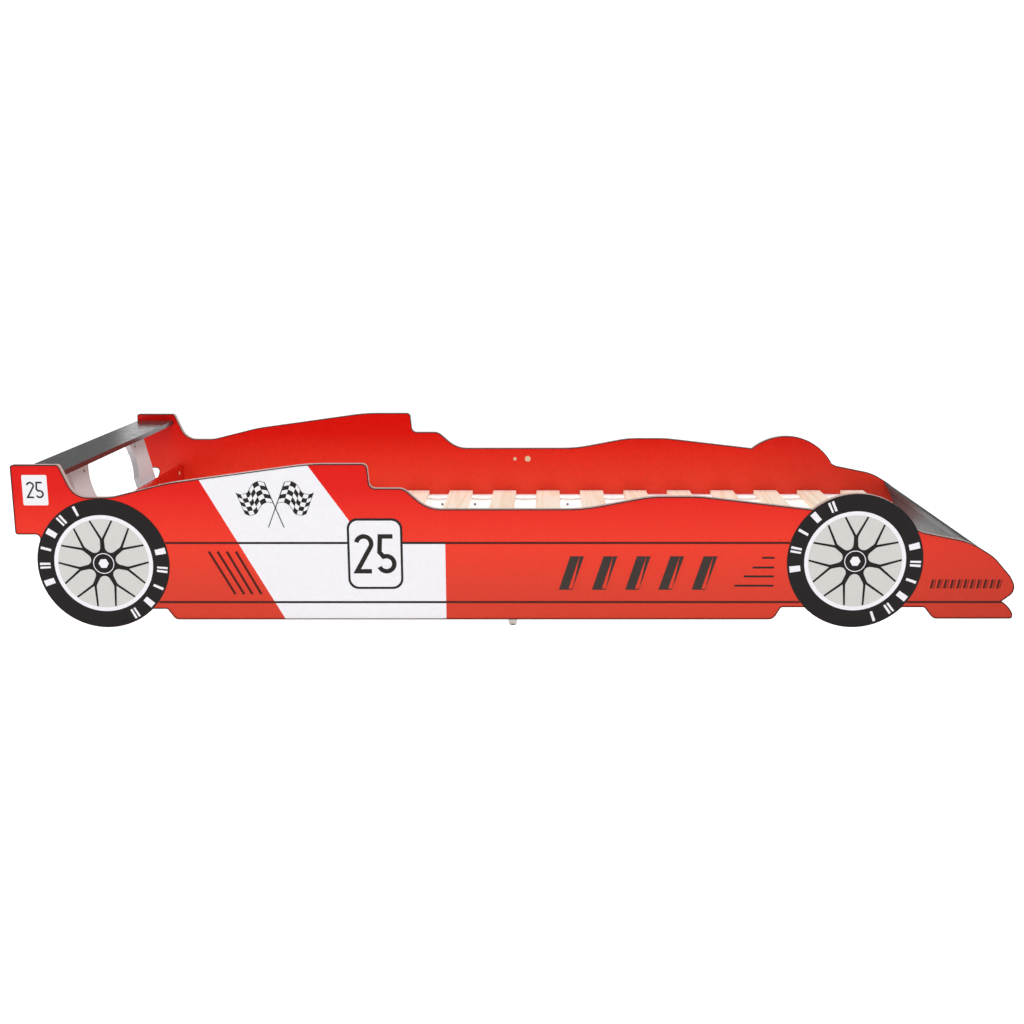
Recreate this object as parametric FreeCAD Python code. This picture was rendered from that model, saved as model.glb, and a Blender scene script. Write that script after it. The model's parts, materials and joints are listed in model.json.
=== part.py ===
"""Race-car toddler bed for a 90 x 200 cm mattress, flat-pack boards in millimetres.

Frame: X runs from the tail to the nose, Y to the car's left side, Z up.
The origin is on the floor, under the middle of the bed.
"""
import math
import os

import FreeCAD
import Part

V = FreeCAD.Vector

# Overall
LENGTH = 2290.0
WIDTH = 945.0
BOARD = 15.0
HALF_LENGTH = LENGTH / 2
HALF_WIDTH = WIDTH / 2
INNER = HALF_WIDTH - BOARD            # inner face of a side panel

# Side panel outline
END_PLATE_TOP = 381.0
END_PLATE_BOTTOM = 220.0
END_PLATE_FRONT = -1036.0
BODY_TOP = 383.0
COCKPIT = 278.5                       # low stretch where the child climbs in
HOOD_TOP = 307.5
SILL = 18.5                           # underside of the panel between the wheels
NOSE_SILL = 20.5
NOSE_NOTCH = (1118.0, 62.0)           # between the nose and its splitter
SPLITTER_TIP = (1144.9, 32.5)
ARCH = 47.5                           # raised underside beside the front wheel
REAR_WHEEL = (-948.0, 152.0, 152.0)   # centre X, centre Z, radius
FRONT_WHEEL = (776.0, 157.0, 157.0)
SEAM_X = -10.0                        # where the two halves of a side panel butt

# Slatted base
SLAT_COUNT = 16
SLAT_WIDTH = 69.0
SLAT_PITCH = 129.5
SLAT_THICK = 12.0
SLAT_FIRST = -1000.5                  # rear edge of the first slat
SLAT_GAP = 3.0                        # slat end to side panel
RAIL_TOP = 140.0
RAIL_HEIGHT = 60.0
RAIL_THICK = 20.0
RAIL_REAR = -1014.0
RAIL_FRONT = 1012.0
PLATE_HALF = 270.0                    # half length of the plate that joins two rails
BUTT_GAP = 0.5
TAPE_WIDTH = 25.0
TAPE_THICK = 1.0
TAPE_INSET = 70.0                     # tape centre to slat end

# Feet under the seams
FOOT_TOP = (34.0, 20.0)
FOOT_BOTTOM = (19.0, 16.0)
GLIDE = 3.0

# Boards that cross the bed: rear or inner bottom corner (X, Z), lean towards
# the nose in degrees, height along the board, thickness and, where the board is
# too thin for the usual dowel, its depth in the board and its radius
HEADBOARD = dict(at=(-1031.0, 60.0), lean=0.0, height=169.0, thick=BOARD)
FOOTBOARD = dict(at=(1014.0, 50.0), lean=0.0, height=90.0, thick=BOARD)
UPRIGHT = dict(at=(-1058.2, 186.5), lean=-13.5, height=175.0, thick=BOARD)
WING = dict(at=(-1144.5, 361.5), lean=90.0, height=105.0, thick=12.0)
NOSE_BOARD = dict(at=(1121.6, 73.0), lean=-24.0, height=80.0, thick=12.0)
NOSE_STRIP = dict(at=(1088.8, 146.4), lean=-32.9, height=32.0, thick=12.0, dowel=(4.2, 3.0))

# Two uprights lean back from the headboard's batten and carry the wing
UPRIGHT_Y = (160.0, 291.0)            # inner and outer edge, from the middle of the bed
UPRIGHT_HOLLOW = (113.6, 288.0, 66.4) # curve of the inner edge: Y, Z, radius
UPRIGHT_FOOT_SCREWS = (224.0, 264.0)
UPRIGHT_SCREW_Y = 202.0
UPRIGHT_SCREW_Z = 322.0
UNDER_WING = WING["at"][1] - WING["thick"]
BATTEN_Z = (197.0, 217.0)
BATTEN_SCREW_Z = 212.0
BATTEN_SCREW_Y = (-407.5, -208.5, 208.5, 407.5)

# Hardware
DOWEL_R = 4.0
DOWEL_IN_PANEL = 10.0
DOWEL_IN_BOARD = 20.0
CAM_R = 7.5
CAM_DEPTH = 11.0
CAM_INSET = 34.0                      # cam centre to the board's end
BOLT_R = 3.5
BOLT_IN_PANEL = 10.0
BOLT_HOOK = 2.0                       # how far a bolt's head reaches into its cam
SCREW_R = 2.0
SCREW_HEAD_R = 4.0
SCREW_HEAD = 2.2
SEAM_CAM_INSET = 19.5                 # from the seam forwards to a seam cam
SEAM_CAP_INSET = 18.5                 # from the seam back to the cap over the bolt
SEAM_CAM_Z = 247.0
SEAM_LOW_CAM_Z = 45.0                 # hidden below the joint plate, so it has no caps
SEAM_DOWEL_Z = (110.0, 200.0)
CAP_PROUD = 1.0


def box(x0, x1, y0, y1, z0, z1):
    """Upright block between two corners."""
    return Part.makeBox(x1 - x0, y1 - y0, z1 - z0, V(x0, y0, z0))


def rod(radius, length, at, along):
    """Round bar from a point along a direction."""
    return Part.makeCylinder(radius, length, V(*at), V(*along))


def point(x, z):
    """Point of a side view drawn in the plane Y = 0."""
    return V(x, 0, z)


def rounded(corners):
    """Edges of an open polyline; a corner's third value is the radius of its round."""
    edges = []
    start = point(*corners[0][:2])
    for before, corner, after in zip(corners, corners[1:], corners[2:]):
        here = point(*corner[:2])
        back = (point(*before[:2]) - here).normalize()
        ahead = (point(*after[:2]) - here).normalize()
        half_angle = back.getAngle(ahead) / 2
        setback = corner[2] / math.tan(half_angle)
        first = here + back * setback
        last = here + ahead * setback
        middle = (back + ahead).normalize()
        centre = here + middle * (corner[2] / math.sin(half_angle))
        edges.append(Part.LineSegment(start, first).toShape())
        edges.append(Part.Arc(first, centre - middle * corner[2], last).toShape())
        start = last
    edges.append(Part.LineSegment(start, point(*corners[-1][:2])).toShape())
    return edges


def on_wheel(wheel, x=None, z=None, side=1):
    """Point of a wheel's rim at a given X or Z, on its upper/front or lower/rear side."""
    cx, cz, radius = wheel
    if z is None:
        return (x, cz + side * math.sqrt(radius ** 2 - (x - cx) ** 2))
    return (cx + side * math.sqrt(radius ** 2 - (z - cz) ** 2), z)


def rim_arc(wheel, start, degrees, end):
    """Arc of a wheel's rim from start to end, through the point at an angle from +X."""
    cx, cz, radius = wheel
    angle = math.radians(degrees)
    through = point(cx + radius * math.cos(angle), cz + radius * math.sin(angle))
    return Part.Arc(point(*start), through, point(*end)).toShape()


def plate(edges, lowest_y):
    """Board cut to a side-view outline, standing at one Y."""
    face = Part.Face(Part.Wire(Part.__sortEdges__(edges)))
    board = face.extrude(V(0, BOARD, 0))
    board.translate(V(0, lowest_y, 0))
    return board


def rear_outline():
    """Tail half: sill, rear wheel, end plate of the wing, headrest and cockpit."""
    leave_sill = on_wheel(REAR_WHEEL, z=44.0, side=1)
    meet_plate = on_wheel(REAR_WHEEL, z=207.3, side=-1)
    plate_root = (-1100.0, END_PLATE_BOTTOM)
    edges = rounded([(SEAM_X, SILL), (-790, SILL, 16), (-808, 44, 8), leave_sill])
    edges.append(rim_arc(REAR_WHEEL, leave_sill, 225, meet_plate))
    edges.append(Part.Arc(point(*meet_plate), point(-1091.8, 216.6), point(*plate_root)).toShape())
    edges += rounded([
        plate_root,
        (-HALF_LENGTH, END_PLATE_BOTTOM, 6),
        (-HALF_LENGTH, END_PLATE_TOP, 6),
        (END_PLATE_FRONT, END_PLATE_TOP, 10),
        (-1004, 306, 45),
        (-922, 306, 100),
        (-790, 339, 400),
        (-470, BODY_TOP, 500),
        (-338, BODY_TOP, 12),
        (-332.5, 326.5, 14),
        (-256, 326.5, 32),
        (-201.5, COCKPIT, 80),
        (SEAM_X, COCKPIT),
    ])
    edges.append(Part.LineSegment(point(SEAM_X, COCKPIT), point(SEAM_X, SILL)).toShape())
    return edges


def front_outline():
    """Nose half: cockpit, hood, front wheel, nose and splitter."""
    meet_wheel = on_wheel(FRONT_WHEEL, x=675.0, side=1)
    leave_wheel = on_wheel(FRONT_WHEEL, z=230.0, side=1)
    nose_arch = on_wheel(FRONT_WHEEL, z=ARCH, side=1)
    sill_arch = on_wheel(FRONT_WHEEL, z=ARCH, side=-1)
    edges = rounded([
        (SEAM_X, COCKPIT),
        (153, COCKPIT, 400),
        (306, HOOD_TOP, 300),
        (418, HOOD_TOP, 400),
        meet_wheel,
    ])
    edges.append(rim_arc(FRONT_WHEEL, meet_wheel, 90, leave_wheel))
    edges += rounded([
        leave_wheel,
        (930, 223.5, 12),
        (1038, 201.5, 150),
        (1094, 167.5, 100),
        (1134.5, 121.5, 60),
        (1151.95, 87.5, 25.2),
        NOSE_NOTCH,
    ])
    edges.append(Part.Arc(point(*NOSE_NOTCH), point(1135, 48), point(*SPLITTER_TIP)).toShape())
    edges += rounded([
        SPLITTER_TIP,
        (1144.9, NOSE_SILL, 6),
        (962, NOSE_SILL, 18),
        (941, ARCH, 8),
        nose_arch,
    ])
    edges.append(rim_arc(FRONT_WHEEL, nose_arch, 270, sill_arch))
    edges += rounded([sill_arch, (610, ARCH, 8), (593, SILL, 20), (SEAM_X, SILL)])
    edges.append(Part.LineSegment(point(SEAM_X, SILL), point(SEAM_X, COCKPIT)).toShape())
    return edges


def place(shape, board):
    """Move a shape from a cross board's own frame (thickness, Y, height) to the bed's."""
    turn = FreeCAD.Rotation(V(0, 1, 0), board["lean"])
    moved = shape.copy()
    seat = FreeCAD.Placement(V(board["at"][0], 0, board["at"][1]), turn)
    moved.Placement = seat.multiply(shape.Placement)
    return moved


def cross_board(board):
    """Plain board from one side panel to the other."""
    return place(box(0, board["thick"], -INNER, INNER, 0, board["height"]), board)


def end_dowels(board, heights):
    """Wooden dowels at both ends of a cross board."""
    middle, radius = board.get("dowel", (board["thick"] / 2, DOWEL_R))
    length = DOWEL_IN_PANEL + DOWEL_IN_BOARD
    return [
        place(rod(radius, length, (middle, side * (INNER - DOWEL_IN_BOARD), h), (0, side, 0)), board)
        for h in heights
        for side in (-1, 1)
    ]


def end_cams(board, heights, from_front):
    """Cam housings let into a cross board, open at its front or rear face."""
    depth = board["thick"] - 3
    start = board["thick"] - depth if from_front else 0
    return [
        place(rod(CAM_R, depth, (start, side * (INNER - CAM_INSET), h), (1, 0, 0)), board)
        for h in heights
        for side in (-1, 1)
    ]


def end_bolts(board, heights):
    """Cam bolts from the side panels into the cams of a cross board."""
    middle = board["thick"] / 2
    reach = CAM_INSET - CAM_R + BOLT_HOOK
    return [
        place(rod(BOLT_R, reach + BOLT_IN_PANEL, (middle, side * (INNER - reach), h), (0, side, 0)), board)
        for h in heights
        for side in (-1, 1)
    ]


def screw(head_at, along, length):
    """Countersunk wood screw: the head's top is at head_at, the shank runs along."""
    direction = V(*along)
    head = Part.makeCone(SCREW_HEAD_R, SCREW_R, SCREW_HEAD, V(*head_at), direction)
    shank = Part.makeCylinder(SCREW_R, length, V(*head_at), direction)
    return head.fuse(shank).removeSplitter()


def cap(radius, at, along, plug):
    """Cover cap: a thin disc on the surface with a plug in the hole behind it."""
    direction = V(*along)
    disc = Part.makeCylinder(radius + 1, CAP_PROUD, V(*at), direction)
    stem = Part.makeCylinder(radius, plug, V(*at), direction * -1)
    return disc.fuse(stem).removeSplitter()


def rail_blanks():
    """The four slat rails and the two plates that join them, by node name."""
    blanks = {}
    for name, side in (("right", -1), ("left", 1)):
        y0, y1 = sorted((side * INNER, side * (INNER - RAIL_THICK)))
        z0 = RAIL_TOP - RAIL_HEIGHT
        plate_rear = SEAM_X - PLATE_HALF
        plate_front = SEAM_X + PLATE_HALF
        blanks[name + "_rear_slat_rail"] = box(RAIL_REAR, plate_rear - BUTT_GAP, y0, y1, z0, RAIL_TOP)
        blanks[name + "_front_slat_rail"] = box(plate_front + BUTT_GAP, RAIL_FRONT, y0, y1, z0, RAIL_TOP)
        blanks[name + "_joint_plate"] = box(plate_rear, plate_front, y0, y1, z0, RAIL_TOP)
    return blanks


def rail_screws(stations, height):
    """Screws from inside the bed through a rail into the side panel."""
    face = INNER - RAIL_THICK
    return [
        screw((x, side * face, height), (0, side, 0), RAIL_THICK + 10)
        for x in stations
        for side in (-1, 1)
    ]


def tapered_block(top, bottom, z0, z1, y):
    """Four-sided block that narrows towards the floor."""
    outlines = []
    for (across, deep), z in ((bottom, z0), (top, z1)):
        corners = [
            V(SEAM_X - across / 2, y - deep / 2, z),
            V(SEAM_X + across / 2, y - deep / 2, z),
            V(SEAM_X + across / 2, y + deep / 2, z),
            V(SEAM_X - across / 2, y + deep / 2, z),
        ]
        outlines.append(Part.makePolygon(corners + corners[:1]))
    return Part.makeLoft(outlines, True, True)


def rounded_bar(x0, x1, y0, y1, z0, z1, radius, axis):
    """Bar whose four long edges, along axis, are rounded."""
    bar = box(x0, x1, y0, y1, z0, z1)
    long_edges = [
        e for e in bar.Edges
        if abs((e.Vertexes[1].Point - e.Vertexes[0].Point).normalize().dot(V(*axis))) > 0.99
    ]
    return bar.makeFillet(radius, long_edges)


def leaning_axes(board):
    """Directions up along a leaning board and out of its front face."""
    lean = math.radians(board["lean"])
    return V(math.sin(lean), 0, math.cos(lean)), V(math.cos(lean), 0, -math.sin(lean))


def wing_upright(side):
    """Leaning upright on one side of the middle, cut level under the wing."""
    y0, y1 = sorted((side * UPRIGHT_Y[0], side * UPRIGHT_Y[1]))
    blank = place(box(0, UPRIGHT["thick"], y0, y1, 0, UPRIGHT["height"]), UPRIGHT)
    y, z, radius = UPRIGHT_HOLLOW
    hollow = rod(radius, 200, (-HALF_LENGTH - 10, side * y, z), (1, 0, 0))
    return blank.common(box(-HALF_LENGTH, 0, y0, y1, 0, UNDER_WING)).cut(hollow)


def headboard_batten():
    """Batten behind the headboard, its rear face bevelled to the lean of the uprights."""
    face_x = HEADBOARD["at"][0]
    batten = box(face_x - 30, face_x, -430, 430, *BATTEN_Z)
    behind = box(-60, UPRIGHT["thick"], -INNER, INNER, -60, UPRIGHT["height"])
    return batten.cut(place(behind, UPRIGHT))


def upright_screws(side):
    """Two screws from behind, through an upright into the headboard's batten."""
    up, normal = leaning_axes(UPRIGHT)
    foot = V(UPRIGHT["at"][0], 0, UPRIGHT["at"][1])
    return [screw(tuple(foot + up * 18 + V(0, side * y, 0)), tuple(normal), 27) for y in UPRIGHT_FOOT_SCREWS]


def wing_bracket(y):
    """Bent steel angle between the wing's underside and an upright's rear face."""
    width, drop, reach, steel = 40.0, 46.0, 34.0, 2.5
    up, normal = leaning_axes(UPRIGHT)
    foot = V(UPRIGHT["at"][0], 0, UPRIGHT["at"][1])
    top = foot + up * ((UNDER_WING - foot.z) / up.z)
    outer = top - normal * steel
    corners = [
        top,
        top - up * drop,
        outer - up * drop,
        outer + up * ((UNDER_WING - steel - outer.z) / up.z),
        V(top.x - reach, 0, UNDER_WING - steel),
        V(top.x - reach, 0, UNDER_WING),
    ]
    face = Part.Face(Part.makePolygon(corners + corners[:1]))
    bracket = face.extrude(V(0, width, 0))
    bracket.translate(V(0, y - width / 2, 0))
    return bracket


def bracket_screws(y):
    """One screw through the upright into the bracket and one up into the wing."""
    steel = 2.5
    up, normal = leaning_axes(UPRIGHT)
    foot = V(UPRIGHT["at"][0], y, UPRIGHT["at"][1]) + normal * UPRIGHT["thick"]
    head = foot + up * ((UPRIGHT_SCREW_Z - foot.z) / up.z)
    return [
        screw(tuple(head), tuple(normal * -1), UPRIGHT["thick"] + steel + 5),
        screw((-1117, y, UNDER_WING - steel), (0, 0, 1), 11),
    ]


def subtract(shape, tools):
    """Cut every tool that touches the shape out of it."""
    for tool in tools:
        if tool.BoundBox.intersect(shape.BoundBox):
            shape = shape.cut(tool)
    return shape.Solids[0] if len(shape.Solids) == 1 else shape


def seam_hardware():
    """Fittings that pull the two halves of each side panel together at the seam."""
    dowels, bolts, cams, large_caps, small_caps = [], [], [], [], []
    cam_x = SEAM_X + SEAM_CAM_INSET
    for side in (-1, 1):
        middle = side * (INNER + BOARD / 2)
        for z in SEAM_DOWEL_Z:
            dowels.append(rod(DOWEL_R, 40, (SEAM_X - 20, middle, z), (1, 0, 0)))
        for z in (SEAM_CAM_Z, SEAM_LOW_CAM_Z):
            reach = SEAM_CAM_INSET - CAM_R + BOLT_HOOK
            bolts.append(rod(BOLT_R, CAM_INSET + reach, (SEAM_X - CAM_INSET, middle, z), (1, 0, 0)))
            cams.append(rod(CAM_R, CAM_DEPTH - 2, (cam_x, side * (INNER + 2), z), (0, side, 0)))
        large_caps.append(cap(CAM_R, (cam_x, side * INNER, SEAM_CAM_Z), (0, -side, 0), 2))
        small_caps.append(cap(4.0, (SEAM_X - SEAM_CAP_INSET, side * INNER, SEAM_CAM_Z), (0, -side, 0), 2))
    return dowels, bolts, cams, large_caps, small_caps


def build():
    """Every node of the bed: name to shape."""
    nodes = {}

    # Hardware first, because the boards are drilled for it
    boards = {
        "headboard": HEADBOARD,
        "foot_crossboard": FOOTBOARD,
        "rear_wing": WING,
        "nose_board": NOSE_BOARD,
        "nose_strip": NOSE_STRIP,
    }
    dowel_heights = {
        "headboard": (30, 150),
        "foot_crossboard": (16,),
        "rear_wing": (16, 94),
        "nose_board": (44,),
        "nose_strip": (8,),
    }
    cam_heights = {
        "headboard": (100,),
        "foot_crossboard": (60,),
        "rear_wing": (55,),
        "nose_board": (18,),
    }
    front_cams = ("foot_crossboard", "rear_wing")
    cross_dowels, cross_bolts, cross_cams = [], [], []
    for name, board in boards.items():
        cross_dowels += end_dowels(board, dowel_heights[name])
        cross_bolts += end_bolts(board, cam_heights.get(name, ()))
        cross_cams += end_cams(board, cam_heights.get(name, ()), name in front_cams)
    seam_dowels, seam_bolts, seam_cams, large_caps, small_caps = seam_hardware()

    slat_starts = [SLAT_FIRST + i * SLAT_PITCH for i in range(SLAT_COUNT)]
    under_slats = [slat_starts[i] + SLAT_WIDTH / 2 for i in (0, 2, 5, 10, 13, 15)]
    screws_in_rails = rail_screws(under_slats, RAIL_TOP - 27)
    plate_stations = [SEAM_X + x for x in (-235, -138, 138, 235)]
    screws_in_plates = rail_screws(plate_stations, RAIL_TOP - 27)

    headboard_front = HEADBOARD["at"][0] + BOARD
    batten_screws = [screw((headboard_front - 2, y, BATTEN_SCREW_Z), (-1, 0, 0), 28) for y in BATTEN_SCREW_Y]
    batten_caps = [cap(4.0, (headboard_front, y, BATTEN_SCREW_Z), (1, 0, 0), 2) for y in BATTEN_SCREW_Y]

    bracket_stations = (-UPRIGHT_SCREW_Y, UPRIGHT_SCREW_Y)
    brackets = [wing_bracket(y) for y in bracket_stations]
    screws_in_brackets = [s for y in bracket_stations for s in bracket_screws(y)]
    screws_in_uprights = [s for side in (-1, 1) for s in upright_screws(side)]

    feet, glides, foot_screws = {}, [], []
    for name, side in (("right", -1), ("left", 1)):
        y = side * (INNER - RAIL_THICK / 2)
        feet[name + "_centre_foot"] = tapered_block(FOOT_TOP, FOOT_BOTTOM, GLIDE, RAIL_TOP - RAIL_HEIGHT, y)
        glides.append(rod(7.5, GLIDE, (SEAM_X, y, 0), (0, 0, 1)))
        for dx in (-9, 9):
            foot_screws.append(rod(SCREW_R, 50, (SEAM_X + dx, y, 55), (0, 0, 1)))

    drilled = (
        cross_dowels + cross_bolts + cross_cams + seam_dowels + seam_bolts + seam_cams
        + large_caps + small_caps + screws_in_rails + screws_in_plates
        + batten_screws + batten_caps + screws_in_brackets + screws_in_uprights + foot_screws
    )

    # Side panels: two halves a side, butted under the cockpit
    for name, lowest_y in (("right", -HALF_WIDTH), ("left", INNER)):
        nodes[name + "_rear_side_panel"] = subtract(plate(rear_outline(), lowest_y), drilled)
        nodes[name + "_front_side_panel"] = subtract(plate(front_outline(), lowest_y), drilled)

    # Boards across the bed
    for name, board in boards.items():
        blank = cross_board(board)
        if name == "nose_strip":
            blank = blank.cut(above_hood())
        nodes[name] = subtract(blank, drilled)
    nodes["headboard_batten"] = subtract(headboard_batten(), drilled)
    nodes["right_wing_upright"] = subtract(wing_upright(-1), drilled)
    nodes["left_wing_upright"] = subtract(wing_upright(1), drilled)
    nodes["wing_brackets"] = subtract(Part.makeCompound(brackets), drilled)

    # Slat rails, joint plates and feet
    for name, blank in rail_blanks().items():
        nodes[name] = subtract(blank, drilled)
    for name, foot in feet.items():
        nodes[name] = subtract(foot, drilled)
    nodes["foot_glides"] = Part.makeCompound(glides)

    # Slat mat: loose slats held at their pitch by two webbing tapes
    slat_end = INNER - SLAT_GAP
    for i, x in enumerate(slat_starts):
        nodes["slat_%02d" % (i + 1)] = rounded_bar(
            x, x + SLAT_WIDTH, -slat_end, slat_end, RAIL_TOP, RAIL_TOP + SLAT_THICK, 2.0, (0, 1, 0))
    tape_y = slat_end - TAPE_INSET
    for name, side in (("right", -1), ("left", 1)):
        nodes[name + "_slat_tape"] = box(
            slat_starts[0] + 5, slat_starts[-1] + SLAT_WIDTH - 5,
            side * tape_y - TAPE_WIDTH / 2, side * tape_y + TAPE_WIDTH / 2,
            RAIL_TOP - TAPE_THICK, RAIL_TOP)

    # Fittings, one node for each kind
    nodes["cross_board_dowels"] = Part.makeCompound(cross_dowels)
    nodes["cam_bolts"] = Part.makeCompound([subtract(b, cross_cams) for b in cross_bolts])
    nodes["cam_locks"] = Part.makeCompound(cross_cams)
    nodes["seam_dowels"] = Part.makeCompound(seam_dowels)
    nodes["seam_bolts"] = Part.makeCompound([subtract(b, seam_cams) for b in seam_bolts])
    nodes["seam_cams"] = Part.makeCompound(seam_cams)
    nodes["seam_cam_caps"] = Part.makeCompound(large_caps)
    nodes["seam_bolt_caps"] = Part.makeCompound(small_caps)
    nodes["headboard_screws"] = Part.makeCompound(batten_screws)
    nodes["headboard_caps"] = Part.makeCompound(batten_caps)
    nodes["bracket_screws"] = Part.makeCompound(screws_in_brackets)
    nodes["upright_screws"] = Part.makeCompound(screws_in_uprights)
    nodes["rail_screws"] = Part.makeCompound(screws_in_rails)
    nodes["joint_plate_screws"] = Part.makeCompound(screws_in_plates)
    nodes["foot_screws"] = Part.makeCompound(foot_screws)
    return nodes


def above_hood():
    """Wedge over the hood line, which bevels the nose strip flush with the panels."""
    corners = [V(1040, 0, 197.5), V(1093, 0, 167), V(1136, 0, 118), V(1136, 0, 250)]
    wedge = Part.Face(Part.makePolygon(corners + corners[:1])).extrude(V(0, 2 * INNER, 0))
    wedge.translate(V(0, -INNER, 0))
    return wedge


os.makedirs("parts", exist_ok=True)
for node, shape in build().items():
    print("%-26s solids %2d  volume %.0f  valid %s" % (
        node, len(shape.Solids), shape.Volume, shape.isValid()))
    shape.exportStep("parts/%s.step" % node)
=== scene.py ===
"""Looks of a race-car toddler bed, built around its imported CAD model.

Everything is in metres in the model's own frame: X to the nose, Y to the left side, Z up.
Printed graphics are thin films on the outer faces of the side panels.
"""
import json
import math

import bmesh
import bpy
from mathutils import Matrix, Vector


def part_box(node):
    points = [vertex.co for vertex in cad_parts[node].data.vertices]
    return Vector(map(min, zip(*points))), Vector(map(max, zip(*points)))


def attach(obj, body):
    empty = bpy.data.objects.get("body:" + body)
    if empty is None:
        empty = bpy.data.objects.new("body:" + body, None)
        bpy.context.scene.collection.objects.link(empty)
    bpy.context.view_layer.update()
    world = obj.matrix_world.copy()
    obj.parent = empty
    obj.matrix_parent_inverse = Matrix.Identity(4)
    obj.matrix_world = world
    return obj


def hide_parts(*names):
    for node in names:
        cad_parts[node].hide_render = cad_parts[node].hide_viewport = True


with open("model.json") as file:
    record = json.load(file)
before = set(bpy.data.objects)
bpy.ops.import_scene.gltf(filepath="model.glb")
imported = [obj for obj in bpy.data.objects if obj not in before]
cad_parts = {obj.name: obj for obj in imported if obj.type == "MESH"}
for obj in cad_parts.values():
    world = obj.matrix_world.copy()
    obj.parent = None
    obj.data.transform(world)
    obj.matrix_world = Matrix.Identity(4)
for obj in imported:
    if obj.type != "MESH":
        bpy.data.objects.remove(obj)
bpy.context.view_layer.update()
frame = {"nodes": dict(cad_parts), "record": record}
nodes = frame["nodes"]

MM = 0.001
SIDES = {"right": -1, "left": 1}
FILM = 0.2 * MM                        # thickness of one printed layer

# Places that the CAD model gives
REAR_LOW, REAR_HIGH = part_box("right_rear_side_panel")
OUTER_Y = -REAR_LOW.y                  # outer face of either side panel
INNER_Y = -REAR_HIGH.y                 # inner face
SEAM_X = REAR_HIGH.x                   # where the rear and front halves of a panel meet

# Wheels drawn on the panels: centre X, centre Z, radius
REAR_WHEEL = (-0.948, 0.152, 0.152)
FRONT_WHEEL = (0.776, 0.157, 0.157)


# ---------------------------------------------------------------- materials

class Graph:
    """A material's nodes around one Principled shader."""

    def __init__(self, name):
        self.material = bpy.data.materials.new(name)
        self.material.use_nodes = True
        self.nodes = self.material.node_tree.nodes
        self.links = self.material.node_tree.links
        self.shader = self.nodes["Principled BSDF"]
        self.coordinates = self.nodes.new("ShaderNodeTexCoord")

    def set(self, **values):
        """Constant values on the shader's own sockets."""
        for name, value in values.items():
            self.shader.inputs[name.replace("_", " ")].default_value = value

    def link(self, source, target):
        self.links.new(source, target)

    def math(self, operation, first, second=0.0, third=0.0):
        node = self.nodes.new("ShaderNodeMath")
        node.operation = operation
        for socket, value in zip(node.inputs, (first, second, third)):
            if isinstance(value, (int, float)):
                socket.default_value = value
            else:
                self.link(value, socket)
        return node.outputs[0]

    def stretched(self, scale):
        """Object coordinates, stretched."""
        mapping = self.nodes.new("ShaderNodeMapping")
        mapping.inputs["Scale"].default_value = scale
        self.link(self.coordinates.outputs["Object"], mapping.inputs["Vector"])
        return mapping.outputs["Vector"]

    def noise(self, scale, detail=2.0, roughness=0.5, vector=None, distortion=0.0):
        node = self.nodes.new("ShaderNodeTexNoise")
        node.inputs["Scale"].default_value = scale
        node.inputs["Detail"].default_value = detail
        node.inputs["Roughness"].default_value = roughness
        node.inputs["Distortion"].default_value = distortion
        self.link(vector or self.coordinates.outputs["Object"], node.inputs["Vector"])
        return node.outputs["Fac"]

    def ramp(self, value, stops):
        """Colours at positions from 0 to 1."""
        node = self.nodes.new("ShaderNodeValToRGB")
        elements = node.color_ramp.elements
        while len(elements) < len(stops):
            elements.new(0.5)
        for element, (position, colour) in zip(elements, stops):
            element.position = position
            element.color = colour
        self.link(value, node.inputs["Fac"])
        return node.outputs["Color"]

    def mix(self, factor, first, second, blend="MIX"):
        node = self.nodes.new("ShaderNodeMix")
        node.data_type = "RGBA"
        node.blend_type = blend
        sockets = (node.inputs[0], node.inputs[6], node.inputs[7])
        for socket, value in zip(sockets, (factor, first, second)):
            if isinstance(value, (int, float, tuple)):
                socket.default_value = value
            else:
                self.link(value, socket)
        return node.outputs[2]

    def span(self, value, low, high, to_low=0.0, to_high=1.0):
        """A value mapped from one range to another and clamped."""
        node = self.nodes.new("ShaderNodeMapRange")
        for socket, number in zip(node.inputs[1:5], (low, high, to_low, to_high)):
            socket.default_value = number
        self.link(value, node.inputs[0])
        return node.outputs[0]

    def axis(self, output, name):
        """One axis of the object coordinates or of the surface's direction."""
        node = self.nodes.new("ShaderNodeSeparateXYZ")
        self.link(self.coordinates.outputs[output], node.inputs[0])
        return node.outputs[name]

    def colour(self, source):
        self.link(source, self.shader.inputs["Base Color"])

    def roughness(self, source):
        self.link(source, self.shader.inputs["Roughness"])

    def bump(self, height, strength, distance):
        node = self.nodes.new("ShaderNodeBump")
        node.inputs["Strength"].default_value = strength
        node.inputs["Distance"].default_value = distance
        self.link(height, node.inputs["Height"])
        self.link(node.outputs["Normal"], self.shader.inputs["Normal"])


def srgb(red, green, blue):
    """Screen colour, 0 to 255, as the linear colour that shaders take."""
    def linear(value):
        value /= 255.0
        return value / 12.92 if value <= 0.04045 else ((value + 0.055) / 1.055) ** 2.4
    return (linear(red), linear(green), linear(blue), 1.0)


def orange_peel(graph, low, high):
    """The faint ripple of pressed melamine, in its gloss and its surface."""
    graph.roughness(graph.span(graph.noise(35.0, 3.0), 0.3, 0.7, low, high))
    graph.bump(graph.noise(700.0, 2.0), 0.04, 0.00005)


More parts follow.
